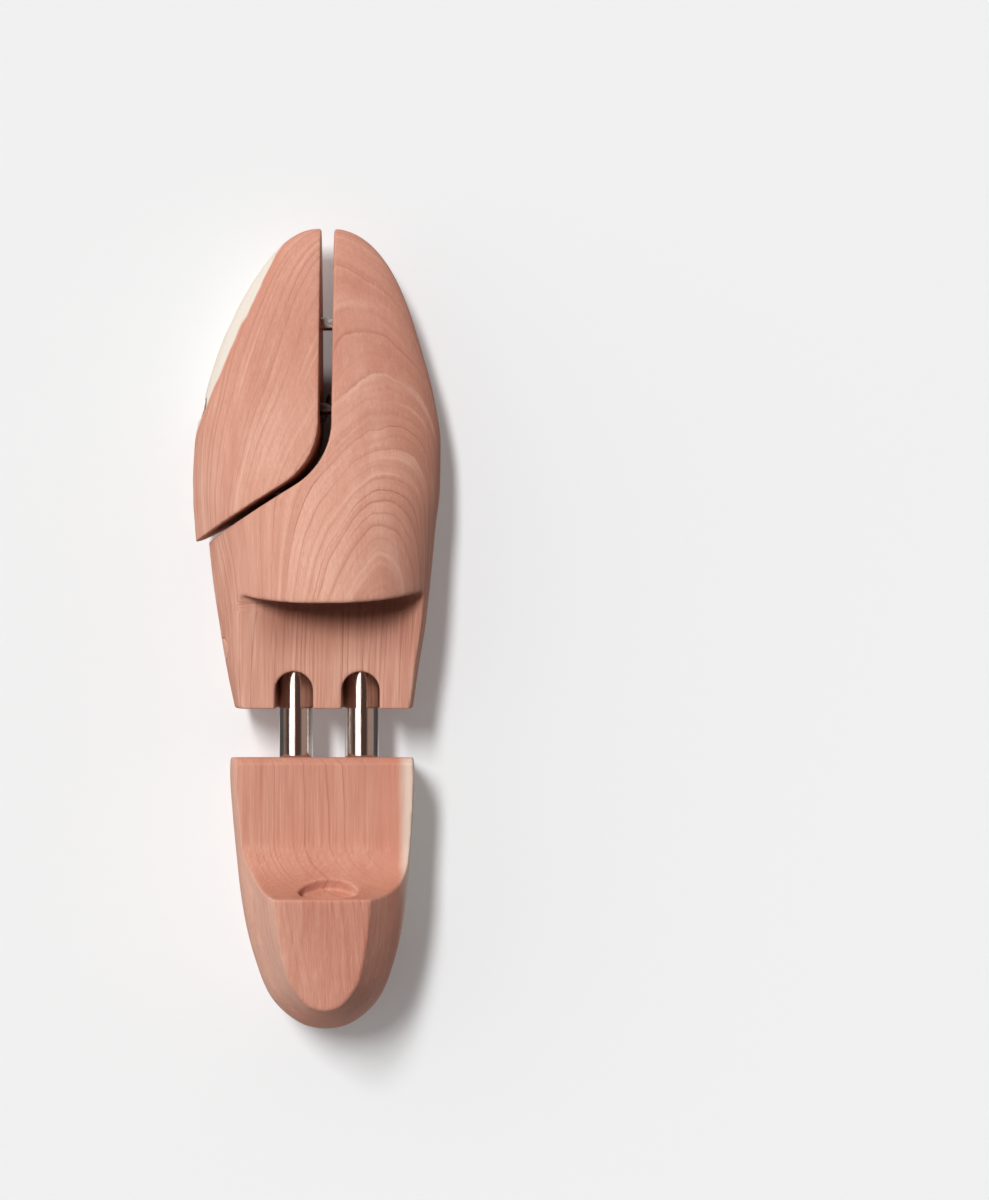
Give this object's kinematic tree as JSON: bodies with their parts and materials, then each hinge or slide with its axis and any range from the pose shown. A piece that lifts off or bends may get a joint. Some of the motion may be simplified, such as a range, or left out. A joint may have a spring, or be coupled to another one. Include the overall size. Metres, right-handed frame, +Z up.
{
  "type": "shoe tree",
  "caption": "Sprung cedar shoe tree for a left shoe: split spreading toe, twin metal tubes on a hinge, and a sliding heel block with a thumb recess.",
  "frame": {"origin": "On the forepart's flat sole, 40 mm ahead of its rear face, midway between the two tubes.", "axes": "+Y to the toe, +X to the medial side (the big toe's side of a left foot), +Z up."},
  "size_m": [0.0886, 0.2862, 0.0622],
  "materials": {
    "cedar": "fine-sanded unfinished aromatic red cedar",
    "cedar_plug": "sanded cedar plug, end grain outwards",
    "nickel_plate": "bright nickel plate",
    "pin_steel": "drawn bright steel",
    "spring_steel": "oiled spring steel",
    "brass": "turned brass"
  },
  "bodies": {
    "forepart": {"forepart_body": "cedar", "front_guide_pin": "pin_steel", "rear_guide_pin": "pin_steel", "spread_screw": "pin_steel", "spread_washer": "pin_steel", "spread_spring": "spring_steel", "hinge_pin": "pin_steel", "hinge_pin_plug": "cedar_plug"},
    "toe_wing": {"toe_wing": "cedar"},
    "tubes": {"lateral_tube": "nickel_plate", "medial_tube": "nickel_plate", "lateral_tube_plug": "brass", "medial_tube_plug": "brass", "lateral_tube_bush": "brass", "medial_tube_bush": "brass", "lateral_main_spring": "spring_steel", "medial_main_spring": "spring_steel"},
    "heel": {"heel_block": "cedar", "lateral_plunger_rod": "pin_steel", "medial_plunger_rod": "pin_steel", "rod_anchor_pin": "pin_steel", "rod_anchor_plug": "cedar_plug"}
  },
  "joints": [
    {"name": "toe_spread", "type": "slide", "parent": "forepart", "child": "toe_wing", "axis": [1, 0, 0], "range_m": [0, 0.004], "stiffness_N_per_m": 900, "springref_m": -0.004, "deforming": ["spread_spring"]},
    {"name": "tube_hinge", "type": "hinge", "parent": "forepart", "child": "tubes", "pos_m": [0, -0.019, 0.022], "axis": [-1, 0, 0], "range_deg": [-3, 12]},
    {"name": "heel_slide", "type": "slide", "parent": "tubes", "child": "heel", "axis": [0, 1, 0], "range_m": [0, 0.0135], "stiffness_N_per_m": 1800, "springref_m": -0.006, "deforming": ["lateral_main_spring", "medial_main_spring"]}
  ]
}
